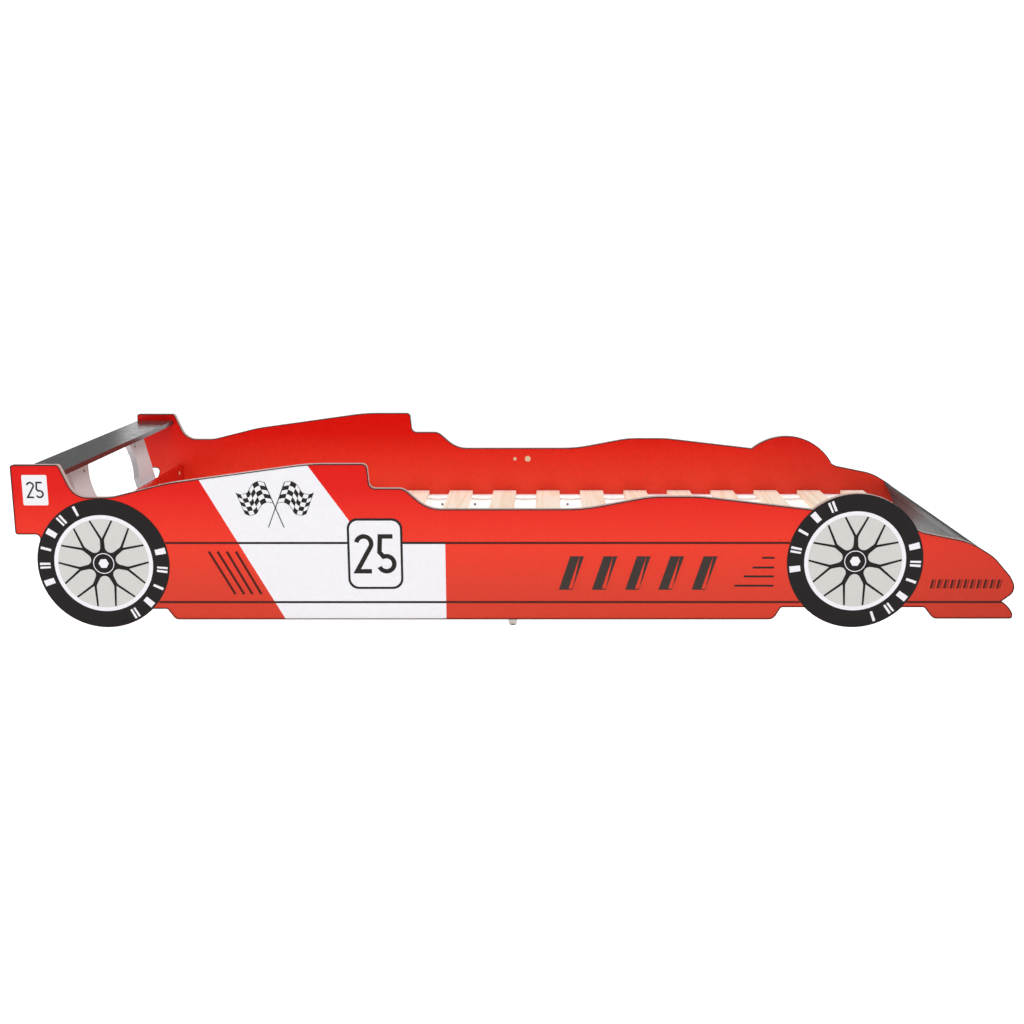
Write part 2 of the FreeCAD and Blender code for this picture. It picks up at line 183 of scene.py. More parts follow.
def panel_material(name, face_axis, stops, edge):
    """Printed board: a colour on its two faces and bare light edge banding between them. The face
    colour carries painted shade: darker by the height stops given, and darker towards the nose end.
    """
    graph = Graph(name)
    # Face colour by height, from stops that carry painted shade.
    height = graph.span(graph.axis("Object", "Z"), 0.0, REAR_HIGH.z)
    face = graph.ramp(height, stops)
    mottle = graph.span(graph.noise(260.0, 3.0, 0.6), 0.25, 0.75, 0.97, 1.02)
    grey = graph.nodes.new("ShaderNodeCombineColor")
    for socket in grey.inputs[:3]:
        graph.link(mottle, socket)
    face = graph.mix(1.0, face, grey.outputs[0], "MULTIPLY")
    # Painted shade: the faces blend towards a dark red over the last stretch to the nose.
    shade = graph.span(graph.axis("Object", "X"), 0.62, 1.08, 0.0, 0.22)
    face = graph.mix(shade, face, NOSE_PAINTED_SHADE)
    facing = graph.math("ABSOLUTE", graph.axis("Normal", face_axis))
    on_face = graph.math("GREATER_THAN", facing, 0.9)
    graph.colour(graph.mix(on_face, edge, face))
    orange_peel(graph, 0.24, 0.30)
    graph.set(Specular_IOR_Level=0.14)
    return graph.material


def ink_material(name, colour, low=0.3, high=0.4):
    """Printed ink with a slight unevenness of tone."""
    graph = Graph(name)
    tone = graph.noise(120.0, 4.0, 0.6)
    shade = tuple(channel * 0.96 for channel in colour[:3]) + (1.0,)
    graph.colour(graph.ramp(tone, [(0.3, shade), (0.7, colour)]))
    orange_peel(graph, low, high)
    graph.set(Specular_IOR_Level=0.12)
    return graph.material


def laminate_material(name, light, dark, low, high, level=0.5):
    """Smooth melamine board in one hue, clouded very slightly."""
    graph = Graph(name)
    clouds = graph.noise(9.0, 5.0, 0.6)
    graph.colour(graph.ramp(clouds, [(0.3, dark), (0.7, light)]))
    orange_peel(graph, low, high)
    graph.set(Specular_IOR_Level=level)
    return graph.material


def nose_material(name, light, dark):
    """Grey laminate with a dark painted shadow line where the nose board meets the strip above it, in
    place of the shade inside the seam.
    """
    graph = Graph(name)
    clouds = graph.noise(9.0, 5.0, 0.6)
    face = graph.ramp(clouds, [(0.3, dark), (0.7, light)])
    edge_drop = 4.9 * MM               # the lean puts the inner top edge below the outer one
    inner_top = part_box("nose_board")[1].z - edge_drop
    height = graph.axis("Object", "Z")
    above = graph.math("GREATER_THAN", height, inner_top - 2.0 * MM)
    below = graph.math("LESS_THAN", height, inner_top + 0.3 * MM)
    inside = graph.math("LESS_THAN", graph.axis("Normal", "X"), 0.0)
    # Painted shadow: a dark band just below the inner top edge, on the faces that look back into the
    # bed.
    line = graph.math("MULTIPLY", graph.math("MULTIPLY", above, below), inside)
    graph.colour(graph.mix(line, face, srgb(34, 32, 32)))
    orange_peel(graph, 0.35, 0.45)
    graph.set(Specular_IOR_Level=0.1)
    return graph.material


def upright_material(name, face, edge):
    """White board of the uprights, its narrow edges a little greyer than its faces. Both colours carry
    a painted cool tint that offsets the warm light bounced onto the boards from the red panels; the
    real board is plain white.
    """
    graph = Graph(name)
    across = graph.math("ABSOLUTE", graph.axis("Normal", "Y"))
    on_edge = graph.math("GREATER_THAN", across, 0.3)
    graph.colour(graph.mix(on_edge, face, edge))
    orange_peel(graph, 0.3, 0.42)
    graph.set(Specular_IOR_Level=0.3)
    return graph.material


def pine_material(name):
    """Planed pine with the grain along Y, and a few small knots."""
    graph = Graph(name)
    along = graph.stretched((1.0, 0.055, 1.0))
    warp = graph.noise(9.0, 2.0, 0.5, along)
    across = graph.math("MULTIPLY", graph.axis("Object", "X"), 150.0)
    rings = graph.math("SINE", graph.math("MULTIPLY_ADD", warp, 70.0, across))
    fibre = graph.noise(420.0, 4.0, 0.65, along)
    cells = graph.nodes.new("ShaderNodeTexVoronoi")
    cells.inputs["Scale"].default_value = 6.5
    graph.link(graph.stretched((1.0, 0.8, 0.0)), cells.inputs["Vector"])
    spot = graph.span(cells.outputs["Distance"], 0.03, 0.075, 1.0, 0.0)
    halo = graph.span(cells.outputs["Distance"], 0.05, 0.22, 1.0, 0.0)
    chosen = graph.nodes.new("ShaderNodeSeparateColor")
    graph.link(cells.outputs["Color"], chosen.inputs[0])
    rare = graph.math("GREATER_THAN", chosen.outputs[0], 0.8)
    spot = graph.math("MULTIPLY", spot, rare)
    halo = graph.math("MULTIPLY", graph.math("MULTIPLY", halo, rare), 0.35)
    wood = graph.ramp(graph.span(rings, -1.0, 1.0), [
        (0.0, srgb(253, 246, 230)),
        (0.62, srgb(252, 242, 223)),
        (0.95, srgb(243, 226, 198)),
    ])
    wood = graph.mix(graph.span(fibre, 0.35, 0.75, 0.0, 0.3), wood, srgb(238, 218, 188))
    tone = graph.noise(2.3, 1.0)
    wood = graph.mix(graph.span(tone, 0.35, 0.65, 0.0, 0.3), wood, srgb(247, 235, 216))
    wood = graph.mix(halo, wood, srgb(205, 168, 124))
    graph.colour(graph.mix(spot, wood, srgb(150, 100, 62)))
    graph.roughness(graph.span(fibre, 0.2, 0.8, 0.5, 0.68))
    graph.bump(fibre, 0.25, 0.0002)
    graph.set(Specular_IOR_Level=0.3)
    return graph.material


def webbing_material(name):
    """Woven polyester tape: small diagonal twill from the surface's own place."""
    graph = Graph(name)
    wave = graph.nodes.new("ShaderNodeTexWave")
    wave.wave_type = "BANDS"
    wave.bands_direction = "DIAGONAL"
    wave.inputs["Scale"].default_value = 260.0
    wave.inputs["Distortion"].default_value = 0.4
    graph.link(graph.stretched((1.0, 1.0, 0.0)), wave.inputs["Vector"])
    thread = [(0.2, srgb(205, 203, 196)), (0.7, srgb(238, 237, 232))]
    graph.colour(graph.ramp(wave.outputs["Fac"], thread))
    graph.bump(wave.outputs["Fac"], 0.5, 0.0003)
    graph.set(Roughness=0.85, Sheen_Weight=0.2)
    return graph.material


def plastic_material(name, light, dark, roughness, grain):
    """Moulded plastic with a fine spark-eroded grain."""
    graph = Graph(name)
    graph.colour(graph.ramp(graph.noise(60.0, 3.0), [(0.3, dark), (0.7, light)]))
    graph.roughness(graph.span(graph.noise(25.0, 2.0), 0.3, 0.7, roughness - 0.05, roughness + 0.06))
    graph.bump(graph.noise(grain, 3.0), 0.2, 0.00015)
    return graph.material


def zinc_material(name, dark, light):
    """Zinc-plated steel with drawn streaks and dull patches."""
    graph = Graph(name)
    patches = graph.noise(140.0, 4.0, 0.6)
    graph.colour(graph.ramp(patches, [(0.3, dark), (0.7, light)]))
    graph.roughness(graph.span(patches, 0.3, 0.7, 0.28, 0.45))
    graph.bump(graph.noise(900.0, 2.0), 0.15, 0.00005)
    graph.set(Metallic=1.0)
    return graph.material


# Dark red mixed into the panel faces towards the nose end: painted shade.
NOSE_PAINTED_SHADE = srgb(110, 22, 14)
# Red print by height from bottom to top; the lower stops are darkened as painted shade, standing in
# for light falling off towards the bottom.
RED_PRINT_AND_PAINTED_SHADE_STOPS = [
    (0.0, srgb(210, 60, 38)),
    (0.25, srgb(223, 62, 41)),
    (0.5, srgb(241, 60, 40)),
    (0.68, srgb(238, 46, 30)),
    (0.85, srgb(229, 22, 14)),
    (1.0, srgb(229, 18, 10)),
]
# Headboard red, darkened all over and most at the top as painted shade from the wing above it; its
# edge colour is darkened as painted shade as well.
HEADBOARD_PAINTED_SHADE_STOPS = [
    (0.0, srgb(214, 48, 30)),
    (0.45, srgb(206, 34, 22)),
    (1.0, srgb(190, 18, 10)),
]
side_panel_board = panel_material("printed_red_panel", "Y", RED_PRINT_AND_PAINTED_SHADE_STOPS, srgb(200, 174, 168))
painted_shade_headboard_board = panel_material("printed_red_headboard_painted_shade", "X", HEADBOARD_PAINTED_SHADE_STOPS, srgb(214, 30, 18))
white_board = laminate_material(
    "white_melamine", srgb(248, 247, 249), srgb(243, 242, 245), 0.3, 0.42, 0.3)
wing_board = laminate_material("dark_grey_gloss", srgb(60, 58, 57), srgb(55, 53, 52), 0.18, 0.24, 0.3)
# Painted cool tint on the white uprights, offsetting warm bounce light from the red panels.
upright_board = upright_material("white_melamine_painted_cool_tint", srgb(230, 240, 245), srgb(198, 201, 204))
nose_board = nose_material("mid_grey_laminate", srgb(86, 89, 89), srgb(81, 84, 84))
pine = pine_material("planed_pine")
webbing = webbing_material("woven_tape")
zinc = zinc_material("zinc_plate", srgb(176, 176, 178), srgb(214, 214, 216))
dull_zinc = zinc_material("dull_zinc_plate", srgb(96, 88, 84), srgb(124, 116, 110))
foot_plastic = plastic_material(
    "pale_foot_plastic", srgb(216, 214, 208), srgb(204, 202, 196), 0.45, 600.0)
cap_plastic = plastic_material(
    "cream_cap_plastic", srgb(236, 214, 176), srgb(228, 204, 164), 0.32, 900.0)
glide_rubber = plastic_material("glide_rubber", srgb(70, 70, 70), srgb(52, 52, 52), 0.75, 1200.0)
beech = laminate_material("beech_dowel", srgb(214, 184, 140), srgb(196, 162, 118), 0.55, 0.7)

white_ink = ink_material("white_ink", srgb(246, 245, 249))
ring_ink = ink_material("rim_white_ink", srgb(249, 246, 252))
black_ink = ink_material("charcoal_ink", srgb(40, 37, 36))
tyre_ink = ink_material("tyre_ink", srgb(33, 30, 30))
maroon_ink = ink_material("maroon_ink", srgb(84, 30, 24))
disc_ink = ink_material("disc_grey_ink", srgb(217, 216, 212))
word_ink = ink_material("warm_grey_ink", srgb(62, 54, 50))

SLOT_MATERIALS = {
    "printed_red_panel": side_panel_board,
    "dark_grey_board": wing_board,
    "grey_board": nose_board,
    "white_board": white_board,
    "slat_wood": pine,
    "dowel_wood": beech,
    "webbing": webbing,
    "foot_plastic": foot_plastic,
    "glide_rubber": glide_rubber,
    "cap_plastic": cap_plastic,
    "zinc_steel": zinc,
}


NODE_MATERIALS = {
    "headboard": painted_shade_headboard_board,
    "rail_screws": dull_zinc,
    "joint_plate_screws": dull_zinc,
    "upright_screws": dull_zinc,
    "bracket_screws": dull_zinc,
    "right_wing_upright": upright_board,
    "left_wing_upright": upright_board,
}


def dress_nodes():
    """Every CAD node takes the material of its slot in the record."""
    for subpart in frame["record"]["subparts"]:
        node = nodes[subpart["node"]]
        material = SLOT_MATERIALS[subpart["material_slot"]]
        material = NODE_MATERIALS.get(subpart["node"], material)
        node.data.materials.clear()
        node.data.materials.append(material)


# ---------------------------------------------------------------- outlines

def arc(x, z, radius, start, end, steps=24):
    """Points on an arc, by angles in degrees from +X."""
    angles = [math.radians(start + (end - start) * i / steps) for i in range(steps + 1)]
    return [(x + radius * math.cos(a), z + radius * math.sin(a)) for a in angles]


def circle(x, z, radius, steps=128):
    return arc(x, z, radius, 0, 360, steps)[:-1]


def bar(start, end, width):
    """Straight stroke between two points."""
    along = (Vector(end) - Vector(start)).normalized()
    half = Vector((-along.y, along.x)) * width / 2
    return [tuple(Vector(p) + half * s) for p, s in ((start, 1), (end, 1), (end, -1), (start, -1))]


def rounded_box(x0, x1, z0, z1, radius):
    """Rectangle with round corners."""
    corners = ((x1, z1, -1, -1, 0), (x0, z1, 1, -1, 90), (x0, z0, 1, 1, 180), (x1, z0, -1, 1, 270))
    loop = []
    for x, z, dx, dz, start in corners:
        loop += arc(x + dx * radius, z + dz * radius, radius, start, start + 90, 8)
    return loop


def stroke(path, width):
    """Outline of a pen stroke that follows an open path with mitred corners."""
    points = [Vector(p) for p in path]
    sides = ([], [])
    for i, here in enumerate(points):
        before = (here - points[i - 1]).normalized() if i > 0 else None
        after = (points[i + 1] - here).normalized() if i < len(points) - 1 else None
        along = ((before or after) + (after or before)).normalized()
        normal = Vector((-along.y, along.x))
        half = width / 2 / max(0.5, along.dot(before or after))
        sides[0].append(tuple(here + normal * half))
        sides[1].append(tuple(here - normal * half))
    return sides[0] + sides[1][::-1]


def mirrored(loops, about):
    """Loops flipped left to right about one X."""
    return [[(2 * about - x, z) for x, z in loop] for loop in loops]


# ---------------------------------------------------------------- printed films

def film(name, loops, side, layer, material, y=None):
    """Thin film of ink on a side panel: loops inside other loops are holes.

    It lies on the outer face, or on the inner face when that face's Y is given.
    """
    curve = bpy.data.curves.new(name, "CURVE")
    curve.dimensions = "2D"
    curve.fill_mode = "BOTH"
    curve.extrude = FILM / 2
    for loop in loops:
        spline = curve.splines.new("POLY")
        spline.points.add(len(loop) - 1)
        for point, (x, z) in zip(spline.points, loop):
            point.co = (x, z, 0.0, 1.0)
        spline.use_cyclic_u = True
    maker = bpy.data.objects.new(name, curve)
    bpy.context.scene.collection.objects.link(maker)
    bpy.context.view_layer.update()
    mesh = bpy.data.meshes.new_from_object(maker.evaluated_get(bpy.context.evaluated_depsgraph_get()))
    bpy.data.objects.remove(maker)
    face_y = side * OUTER_Y if y is None else y
    outward = side if y is None else -side
    middle = face_y + outward * FILM * (layer - 0.5)
    mesh.transform(Matrix.Translation((0, middle, 0)) @ Matrix.Rotation(math.pi / 2, 4, "X"))
    mesh.name = name
    mesh.materials.clear()
    mesh.materials.append(material)
    piece = bpy.data.objects.new(name, mesh)
    bpy.context.scene.collection.objects.link(piece)
    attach(piece, "frame")
    return piece


def both_sides(name, loops, layer, material):
    """The same print on the right and the left panel, mirrored across the bed."""
    for side_name, side in SIDES.items():
        film(side_name + "_" + name, loops, side, layer, material)


def both_sides_upright(name, loops, about, layer, material):
    """A print that reads the same way on both panels, such as a number."""
    film("right_" + name, loops, -1, layer, material)
    film("left_" + name, mirrored(loops, about), 1, layer, material)


# Livery: white flash and stripes
STRIPE_HIGH = 0.200
STRIPE_LOW = 0.060
STRIPE = 0.0050
FLASH_TOP = (-0.720, 0.3476)
PANEL_SILL = 0.0188                    # just above the panel's lower edge
FLASH_BOTTOM = (-0.535, PANEL_SILL)
FLASH_RIGHT_TOP = (-0.4725, 0.3815)
FLASH_RIGHT_LOW = (-0.3815, 0.252)
FLASH_END = -0.163


def on_line(start, end, z):
    """X of a straight line at one height."""
    return start[0] + (end[0] - start[0]) * (z - start[1]) / (end[1] - start[1])


def panel_top(x):
    """Height of the rear panel's top edge between two X, read from the CAD mesh."""
    mesh = nodes["right_rear_side_panel"].data
    edge = sorted(
        (v.co.x, v.co.z) for v in mesh.vertices
        if abs(v.co.y + OUTER_Y) < 1e-5 and v.co.z > 0.3 and -0.80 < v.co.x < -0.40)
    for (xa, za), (xb, zb) in zip(edge, edge[1:]):
        if xa <= x <= xb and xb > xa:
            return za + (zb - za) * (x - xa) / (xb - xa)
    return edge[-1][1]


def white_flash():
    """Slanted white area, from the panel's top edge down to its sill."""
    steps = 12
    top = [FLASH_TOP[0] + (FLASH_RIGHT_TOP[0] - FLASH_TOP[0]) * i / steps for i in range(steps + 1)]
    inset = 0.0008
    loop = [(x, panel_top(x) - inset) for x in top]
    loop += [
        FLASH_RIGHT_LOW,
        (FLASH_RIGHT_LOW[0], STRIPE_HIGH),
        (FLASH_END, STRIPE_HIGH),
        (FLASH_END, PANEL_SILL),
        (FLASH_BOTTOM[0], PANEL_SILL),
    ]
    both_sides("white_flash", [loop], 1, white_ink)


def wheel_edge(wheel, z, side):
    cx, cz, radius = wheel
    return cx + side * math.sqrt(radius ** 2 - (z - cz) ** 2)


def stripes():
    """Two level stripes: maroon where they cross red, charcoal where they cross white."""
    high_start = wheel_edge(REAR_WHEEL, STRIPE_HIGH, 1)
    high_end = wheel_edge(FRONT_WHEEL, STRIPE_HIGH, -1)
    low_end = wheel_edge(FRONT_WHEEL, STRIPE_LOW, -1)
    nose_start = wheel_edge(FRONT_WHEEL, STRIPE_LOW, 1)
    flash_high = on_line(FLASH_TOP, FLASH_BOTTOM, STRIPE_HIGH)
    flash_low = on_line(FLASH_TOP, FLASH_BOTTOM, STRIPE_LOW)
    on_red = [
        bar((high_start, STRIPE_HIGH), (flash_high, STRIPE_HIGH), STRIPE),
        bar((FLASH_END, STRIPE_HIGH), (high_end, STRIPE_HIGH), STRIPE),
        bar((-0.826, STRIPE_LOW), (flash_low, STRIPE_LOW), STRIPE),
        bar((FLASH_END, STRIPE_LOW), (low_end, STRIPE_LOW), STRIPE),
        bar((nose_start, STRIPE_LOW), (1.1175, STRIPE_LOW), STRIPE),
    ]
    on_white = [
        bar((flash_high, STRIPE_HIGH), (FLASH_END, STRIPE_HIGH), STRIPE),
        bar((flash_low, STRIPE_LOW), (FLASH_END, STRIPE_LOW), STRIPE),
    ]
    both_sides("maroon_stripes", on_red, 2, maroon_ink)
    both_sides("charcoal_stripes", on_white, 2, black_ink)


def slashes():
    """Four slanted vents beside the rear wheel and four speed lines by the front one."""
    tops = (-0.705, -0.685, -0.664, -0.643)
    bottoms = (-0.649, -0.629, -0.610, -0.589)
    vents = [bar((a, 0.180), (b, 0.079), 0.0055) for a, b in zip(tops, bottoms)]
    both_sides("vent_slashes", vents, 2, maroon_ink)
    lines = [
        bar((start, z), (0.591, z), 0.0042)
        for start, z in ((0.563, 0.165), (0.542, 0.142), (0.522, 0.121), (0.501, 0.099))
    ]
    both_sides("speed_lines", lines, 2, black_ink)


# Numbers
def digit_two(x, z, width, height):
    radius = width / 2
    path = arc(x + radius, z + height - radius, radius, 170, -25, 20)
    path += [(x, z), (x + width, z)]
    return path


def digit_five(x, z, width, height):
    radius = width / 2
    path = [(x + width * a, z + height * b) for a, b in ((0.95, 1.0), (0.1, 1.0), (0.04, 0.55))]
    path += arc(x + radius, z + radius * 1.05, radius * 1.05, 112, -155, 26)
    return path


def number(name, x, z, width, height, gap, pen, layer):
    """Race number 25 around a middle X, in a plain round pen."""
    left = x - gap / 2 - width
    right = x + gap / 2
    loops = [
        stroke(digit_two(left, z, width, height), pen),
        stroke(digit_five(right, z, width, height), pen),
    ]
    both_sides_upright(name, loops, x, layer, black_ink)


def number_box():
    """Rounded white plate with a dark border and the number."""
    x0, x1, z0, z1, border = -0.3872, -0.2605, 0.0915, 0.2575, 0.0052
    outer = rounded_box(x0, x1, z0, z1, 0.024)
    inner = rounded_box(x0 + border, x1 - border, z0 + border, z1 - border, 0.020)
    both_sides("number_box", [outer], 3, white_ink)
    both_sides("number_box_border", [outer, inner], 4, black_ink)
    number("number", (x0 + x1) / 2, 0.1335, 0.034, 0.082, 0.017, 0.0104, 4)
    both_sides("tail_number_box", [rounded_box(-1.121, -1.064, 0.288, 0.358, 0.0035)], 1, white_ink)
    number("tail_number", -1.0925, 0.3065, 0.0145, 0.034, 0.006, 0.0038, 2)


# Flags
POLE_TOP = (-0.5710, 0.3410)
POLE_FOOT = (-0.5300, 0.2362)
FLAG_CROSSING = -0.5479
FLAG_DROP = (0.0183, -0.0484)
FLAG_EDGE = (
    (0.0, 0.0), (-0.0127, 0.0025), (-0.0242, -0.0025), (-0.0318, -0.0114),
    (-0.0382, -0.0229), (-0.0458, -0.0267), (-0.0560, -0.0279), (-0.0649, -0.0242))
FLAG_COLUMNS = 6
FLAG_ROWS = 5


def flag_point(u, v):
    """Waving cloth of the rear flag: u runs from the pole outwards, v from its top edge down."""
    at = u * (len(FLAG_EDGE) - 1)
    i = min(int(at), len(FLAG_EDGE) - 2)
    t = at - i
    points = [Vector(FLAG_EDGE[min(max(k, 0), len(FLAG_EDGE) - 1)]) for k in (i - 1, i, i + 1, i + 2)]
    before, start, end, after = points
    curve = 0.5 * (2 * start + (end - before) * t + (2 * before - 5 * start + 4 * end - after) * t ** 2
                   + (3 * start - before - 3 * end + after) * t ** 3)
    place = Vector(POLE_TOP) + curve + Vector(FLAG_DROP) * v
    return tuple(place)


def flags():
    """Two crossed chequered flags."""
    fine = 4
    checks = []
    for i in range(FLAG_COLUMNS):
        for j in range(FLAG_ROWS):
            if (i + j) % 2 == 0:
                continue
            u0, u1 = i / FLAG_COLUMNS, (i + 1) / FLAG_COLUMNS
            v0, v1 = j / FLAG_ROWS, (j + 1) / FLAG_ROWS
            steps = [k / fine for k in range(fine + 1)]
            loop = [flag_point(u0 + (u1 - u0) * s, v0) for s in steps]
            loop += [flag_point(u0 + (u1 - u0) * s, v1) for s in reversed(steps)]
            checks.append(loop)
    hems = [stroke([flag_point(k / 24, v) for k in range(25)], 0.0009) for v in (0.0, 1.0)]
    hems.append(stroke([flag_point(1.0, v / 4) for v in range(5)], 0.0009))
    pole = [bar(POLE_TOP, POLE_FOOT, 0.0020)]
    both_sides("flag_checks", checks + mirrored(checks, FLAG_CROSSING), 2, black_ink)
    both_sides("flag_hems", hems + mirrored(hems, FLAG_CROSSING), 3, black_ink)
    both_sides("flag_pole_rear", pole, 3, black_ink)
    both_sides("flag_pole_front", mirrored(pole, FLAG_CROSSING), 3, black_ink)


# Abstract marks in place of lettering
def side_marks():
    """Row of slanted double bars on the door, and a row of small ones on the nose."""
    z0, z1, first, pitch, slant = 0.0895, 0.1685, 0.097, 0.0765, 0.026
    door = []
    for i in range(5):
        x = first + pitch * i
        for dx, width in ((0.0, 0.0215), (0.0315, 0.0065)):
            door.append([
                (x + dx, z0), (x + dx + width, z0),
                (x + dx + width + slant, z1), (x + dx + slant, z1)])
        for z in (z0, z1 - 0.0024):
            shift = slant if z > z0 else 0.0
            door.append([
                (x + 0.0215 + shift, z), (x + 0.0315 + shift, z),
                (x + 0.0315 + shift, z + 0.0024), (x + 0.0215 + shift, z + 0.0024)])
    both_sides("door_marks", door, 2, word_ink)
    nose = []
    for i in range(11):
        x = 0.951 + 0.0152 * i
        for dx, width in ((0.0, 0.0052), (0.0078, 0.0016)):
            nose.append([
                (x + dx, 0.0925), (x + dx + width, 0.0925),
                (x + dx + width + 0.004, 0.1135), (x + dx + 0.004, 0.1135)])
    both_sides("nose_marks", nose, 2, maroon_ink)


# ---------------------------------------------------------------- wheels

SPOKES = 7
RIM_OUTER = 0.1132                     # radii of a wheel's printed parts, for size 1
RIM_INNER = 0.1043
HUB_RING_OUTER = 0.0242
HUB_RING_INNER = 0.0224
HUB_NUT = 0.0118
TYRE_MARGIN = 0.0009                   # from the tyre's edge to the panel's


def spider(cx, cz, size, turn):
    """Hub and seven Y-shaped spokes as one outline, turned by an angle in degrees."""
    loop = []
    step = 360.0 / SPOKES
    pocket_at, pocket = 0.0425, 0.0132
    stalk, fork, tip, spread = 0.0046, 0.054, 0.1035, 14.2
    pen = 0.0040

    def place(radial, across, angle):
        a = math.radians(angle)
        x = radial * math.cos(a) - across * math.sin(a)
        z = radial * math.sin(a) + across * math.cos(a)
        return (cx + x * size, cz + z * size)

    tip_r = tip * math.cos(math.radians(spread))
    tip_y = tip * math.sin(math.radians(spread))
    reach = Vector((tip_r - fork, tip_y)).normalized()
    side = Vector((-reach.y, reach.x)) * pen / 2
    crotch = fork + pen / 2 / reach.y
    for i in range(SPOKES):
        angle = 90.0 + turn + step * i
        loop.append(place(fork - 0.001, -stalk, angle))
        loop.append(place(fork + 0.0035, -stalk - 0.0008, angle))
        loop.append(place(tip_r + side.x, -tip_y - side.y, angle))
        loop.append(place(tip_r - side.x, -tip_y + side.y, angle))
        loop.append(place(crotch + 0.001, 0.0, angle))
        loop.append(place(tip_r - side.x, tip_y - side.y, angle))
        loop.append(place(tip_r + side.x, tip_y + side.y, angle))
        loop.append(place(fork + 0.0035, stalk + 0.0008, angle))
        loop.append(place(fork - 0.001, stalk, angle))
        middle = angle + step / 2
        for x, z in arc(pocket_at, 0.0, pocket, 270 - step / 2, 90 + step / 2, 20):
            loop.append(place(x, z, middle))
    return loop


def tyre_marks(cx, cz, size, groups):
    """White blocks round the tyre, in the places where lettering would be."""
    loops = []
    inner, outer = 0.1225 * size, 0.1465 * size
    patterns = (((-0.0064, 0.0064),), ((-0.0064, -0.0014), (0.0020, 0.0064)), ((-0.0028, 0.0028),))
    for start, end, count in groups:
        for i in range(count):
            angle = math.radians(start + (end - start) * i / (count - 1))
            radial = Vector((math.cos(angle), math.sin(angle)))
            across = Vector((-radial.y, radial.x))
            hub = Vector((cx, cz))
            for low, high in patterns[i % len(patterns)]:
                corners = ((inner, low), (inner, high), (outer, high * 1.12), (outer, low * 1.12))
                loops.append([tuple(hub + radial * r + across * t * size) for r, t in corners])
    return loops


def wheel(name, place, size, turn, groups):
    """Printed wheel: tyre, white rim ring, grey disc, spokes, hub ring and nut."""
    cx, cz, radius = place
    tyre = [circle(cx, cz, radius - TYRE_MARGIN), circle(cx, cz, RIM_OUTER * size)]
    both_sides(name + "_tyre", tyre, 3, tyre_ink)
    ring = [circle(cx, cz, RIM_OUTER * size), circle(cx, cz, RIM_INNER * size)]
    both_sides(name + "_rim_ring", ring, 3, ring_ink)
    both_sides(name + "_disc", [circle(cx, cz, RIM_INNER * size)], 3, disc_ink)
    both_sides(name + "_spider", [spider(cx, cz, size, turn)], 4, tyre_ink)
    hub_ring = [circle(cx, cz, r * size, 64) for r in (HUB_RING_OUTER, HUB_RING_INNER)]
    both_sides(name + "_hub_ring", hub_ring, 5, ring_ink)
    both_sides(name + "_hub_nut", [circle(cx, cz, HUB_NUT * size, 6)], 5, ring_ink)
    both_sides(name + "_tyre_marks", tyre_marks(cx, cz, size, groups), 4, ring_ink)


# ---------------------------------------------------------------- contour lines

CONTOUR = 0.0022                       # width of the dark line round each face

def face_outline(node, y):
    """Longest outline of a panel's flat face at one Y, as a list of (x, z)."""
    mesh = bmesh.new()
    mesh.from_mesh(nodes[node].data)
    bmesh.ops.remove_doubles(mesh, verts=mesh.verts, dist=1e-6)
    flat = {f for f in mesh.faces if all(abs(v.co.y - y) < 1e-5 for v in f.verts)}
    follows = {}
    for face in flat:
        for loop in face.loops:
            if sum(f in flat for f in loop.edge.link_faces) == 1:
                follows[loop.vert] = loop.link_loop_next.vert
    outlines = []
    while follows:
        start, here = follows.popitem()
        outline = [start]
        while here != start:
            outline.append(here)
            here = follows.pop(here)
        outlines.append([(v.co.x, v.co.z) for v in outline])
    mesh.free()
    return max(outlines, key=len)


def contour_line(name, node, side, y, width):
    """Dark line just inside a panel's outline, left open where the two halves meet."""
    outline = face_outline(node, y)
    area = sum(xa * zb - xb * za for (xa, za), (xb, zb) in zip(outline, outline[1:] + outline[:1]))
    if area < 0:
        outline.reverse()
    seam = [i for i, (x, z) in enumerate(outline) if abs(x - SEAM_X) < 1e-5]
    first = next(i for i in seam if (i + 1) % len(outline) not in seam)
    path = [Vector(outline[(first + k) % len(outline)]) for k in range(len(outline))]
    while abs(path[-2].x - SEAM_X) < 1e-5:
        path.pop()
    inside = []
    for i, here in enumerate(path):
        before = (here - path[i - 1]).normalized() if i > 0 else None
        after = (path[i + 1] - here).normalized() if i < len(path) - 1 else None
        along = ((before or after) + (after or before)).normalized()
        half = width / max(0.6, along.dot(before or after))
        inside.append(here + Vector((-along.y, along.x)) * half)
    loop = [tuple(p) for p in path + inside[::-1]]
    inner_face = abs(abs(y) - INNER_Y) < 1e-4
    film(name, [loop], side, 6 if not inner_face else 1, black_ink, y if inner_face else None)


def contour_lines():
    for side_name, side in SIDES.items():
        for half in ("rear", "front"):
            node = "%s_%s_side_panel" % (side_name, half)
            for face, face_y in (("outer", OUTER_Y), ("inner", INNER_Y)):
                name = "%s_%s_%s_contour" % (side_name, half, face)
                contour_line(name, node, side, side * face_y, CONTOUR)


# ---------------------------------------------------------------- webbing

